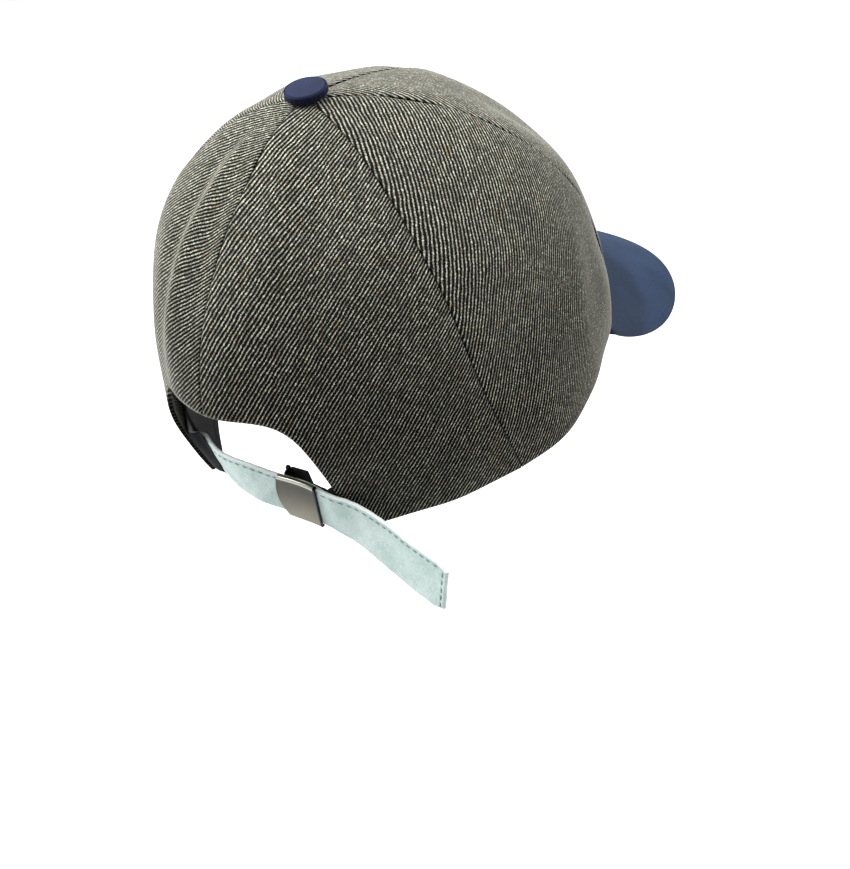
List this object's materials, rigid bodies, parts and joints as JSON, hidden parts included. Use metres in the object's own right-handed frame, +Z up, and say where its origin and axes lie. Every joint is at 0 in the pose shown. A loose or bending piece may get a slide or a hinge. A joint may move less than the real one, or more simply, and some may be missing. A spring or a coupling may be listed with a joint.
{
  "type": "dad cap",
  "caption": "Soft panelled cap with a curved peak, top button, inner sweatband and an arched back opening closed by a buckled suede strap with a hanging tail.",
  "frame": {"origin": "middle of the head opening, level with the middle of the rim, where a head holds the cap", "axes": "+Z up out of the head, -Y toward the tip of the peak, +Y toward the back opening, -X toward the wearer's right"},
  "size_m": [0.1716, 0.2702, 0.1819],
  "materials": {
    "twill": "cream and black steep twill, soft and matt",
    "navy_cloth": "fine navy cloth, matt",
    "black_cloth": "black cloth and webbing, matt",
    "suede": "pale mint suede, napped",
    "brushed_metal": "dark warm brushed metal",
    "black_metal": "gloss black"
  },
  "bodies": {
    "root": {"panel_back_right": "twill", "panel_side_right": "twill", "panel_front_right": "twill", "panel_front_left": "twill", "panel_side_left": "twill", "panel_back_left": "twill", "sweatband": "black_cloth", "peak": "navy_cloth", "button": "navy_cloth", "strap": "suede", "buckle_plate": "brushed_metal", "buckle_bar": "black_metal", "buckle_tab": "black_cloth"}
  },
  "joints": []
}
